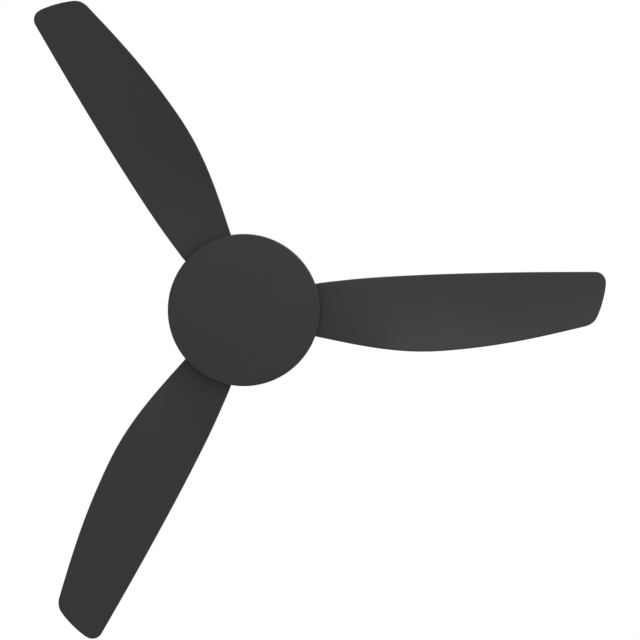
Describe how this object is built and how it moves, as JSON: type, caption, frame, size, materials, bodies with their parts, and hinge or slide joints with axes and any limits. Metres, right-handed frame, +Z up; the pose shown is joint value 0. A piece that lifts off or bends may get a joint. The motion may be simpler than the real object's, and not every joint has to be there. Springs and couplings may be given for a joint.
{
  "type": "ceiling fan",
  "caption": "Three-blade ceiling fan on a short ball-hung downrod, with an outer-rotor motor and a closed round cover that hides its lamp plate.",
  "frame": {"origin": "centre of the hanger bracket's top face, where it meets the ceiling, on the fan's spin axis", "axes": "+Z points up into the ceiling and the fan hangs down -Z; +X runs along the middle of blade 1; the blades' straight leading edges face -Y on blade 1"},
  "size_m": [1.0405, 1.1595, 0.2919],
  "materials": {
    "charcoal_plastic": "fine matt moulded texture",
    "blade_plastic": "matt, very fine grain",
    "charcoal_paint": "matt powder coat",
    "zinc_plate": "bright zinc plate",
    "screw_steel": "zinc plated",
    "black_screw_steel": "black oxide",
    "brass": "machined",
    "receiver_plastic": "matt moulded",
    "circuit_board": "solder mask",
    "nylon": "natural, slippery",
    "ball_plastic": "smooth, self-lubricating",
    "rubber": "matt",
    "gasket_fibre": "pressed fibre",
    "cast_aluminium": "die cast, shot blasted",
    "bright_steel": "ground",
    "core_steel": "stacked sheets",
    "winding_copper": "enamelled wire",
    "magnet": "sintered, coated"
  },
  "bodies": {
    "ceiling_mount": {"hanger_bracket": "zinc_plate", "receiver_base": "receiver_plastic", "receiver_lid": "receiver_plastic", "receiver_board": "circuit_board", "terminal_block": "receiver_plastic", "terminal_screws": "brass", "earth_screw": "screw_steel", "canopy": "charcoal_paint", "canopy_screws": "black_screw_steel", "canopy_ring": "charcoal_plastic"},
    "ball_seat": {"ball_seat": "nylon"},
    "hanging": {"hanger_ball": "ball_plastic", "ball_cross_pin": "screw_steel", "ball_set_screw": "screw_steel", "downrod": "charcoal_paint", "motor_lead": "rubber", "lamp_lead": "rubber", "lead_plug": "nylon", "motor_yoke": "cast_aluminium", "yoke_set_screws": "screw_steel", "yoke_lock_nuts": "screw_steel", "shaft_grub_screw": "screw_steel", "clevis_pin": "screw_steel", "clevis_clip": "screw_steel", "coupling_cover": "charcoal_plastic", "coupling_cover_ring": "rubber", "motor_housing": "charcoal_plastic", "housing_screws": "screw_steel", "motor_shaft": "bright_steel", "shaft_retaining_ring": "screw_steel", "stator_core": "core_steel", "stator_insulators": "nylon", "stator_windings": "winding_copper", "light_plate": "zinc_plate", "light_plate_washer": "zinc_plate", "light_plate_nut": "screw_steel", "light_connector": "nylon", "light_connector_lid": "nylon", "upper_bearing_inner_ring": "bright_steel", "lower_bearing_inner_ring": "bright_steel"},
    "rotor": {"rotor_upper_shell": "cast_aluminium", "rotor_lower_shell": "cast_aluminium", "rotor_case_screws": "screw_steel", "rotor_flux_ring": "core_steel", "rotor_magnets": "magnet", "bearing_wave_washer": "bright_steel", "upper_bearing_outer_ring": "bright_steel", "lower_bearing_outer_ring": "bright_steel", "blade_carrier": "charcoal_paint", "carrier_screws": "screw_steel", "blade_gaskets": "gasket_fibre", "blade_screws": "black_screw_steel", "blade_1": "blade_plastic", "blade_2": "blade_plastic", "blade_3": "blade_plastic"},
    "upper_cage": {"upper_bearing_balls": "bright_steel", "upper_bearing_cage": "nylon"},
    "lower_cage": {"lower_bearing_balls": "bright_steel", "lower_bearing_cage": "nylon"},
    "lower_cover": {"lower_cover": "charcoal_plastic"}
  },
  "joints": [
    {"name": "hang_tilt_side", "type": "hinge", "parent": "ceiling_mount", "child": "ball_seat", "pos_m": [0, 0, -0.05416], "axis": [0, 1, 0], "range_deg": [-15, 15]},
    {"name": "hang_tilt_front", "type": "hinge", "parent": "ball_seat", "child": "hanging", "pos_m": [0, 0, -0.05416], "axis": [1, 0, 0], "range_deg": [-15, 15]},
    {"name": "rotor_spin", "type": "hinge", "parent": "hanging", "child": "rotor", "pos_m": [0, 0, -0.23036], "axis": [0, 0, 1], "continuous": true},
    {"name": "upper_cage_turn", "type": "hinge", "parent": "hanging", "child": "upper_cage", "pos_m": [0, 0, -0.20786], "axis": [0, 0, 1], "continuous": true},
    {"name": "lower_cage_turn", "type": "hinge", "parent": "hanging", "child": "lower_cage", "pos_m": [0, 0, -0.24986], "axis": [0, 0, 1], "continuous": true},
    {"name": "cover_twist", "type": "hinge", "parent": "hanging", "child": "lower_cover", "pos_m": [0, 0, -0.29186], "axis": [0, 0, -1], "range_deg": [0, 15]}
  ],
  "couplings": [
    {"joint": "upper_cage_turn", "follows": "rotor_spin", "ratio": 0.5923},
    {"joint": "lower_cage_turn", "follows": "rotor_spin", "ratio": 0.5923}
  ]
}
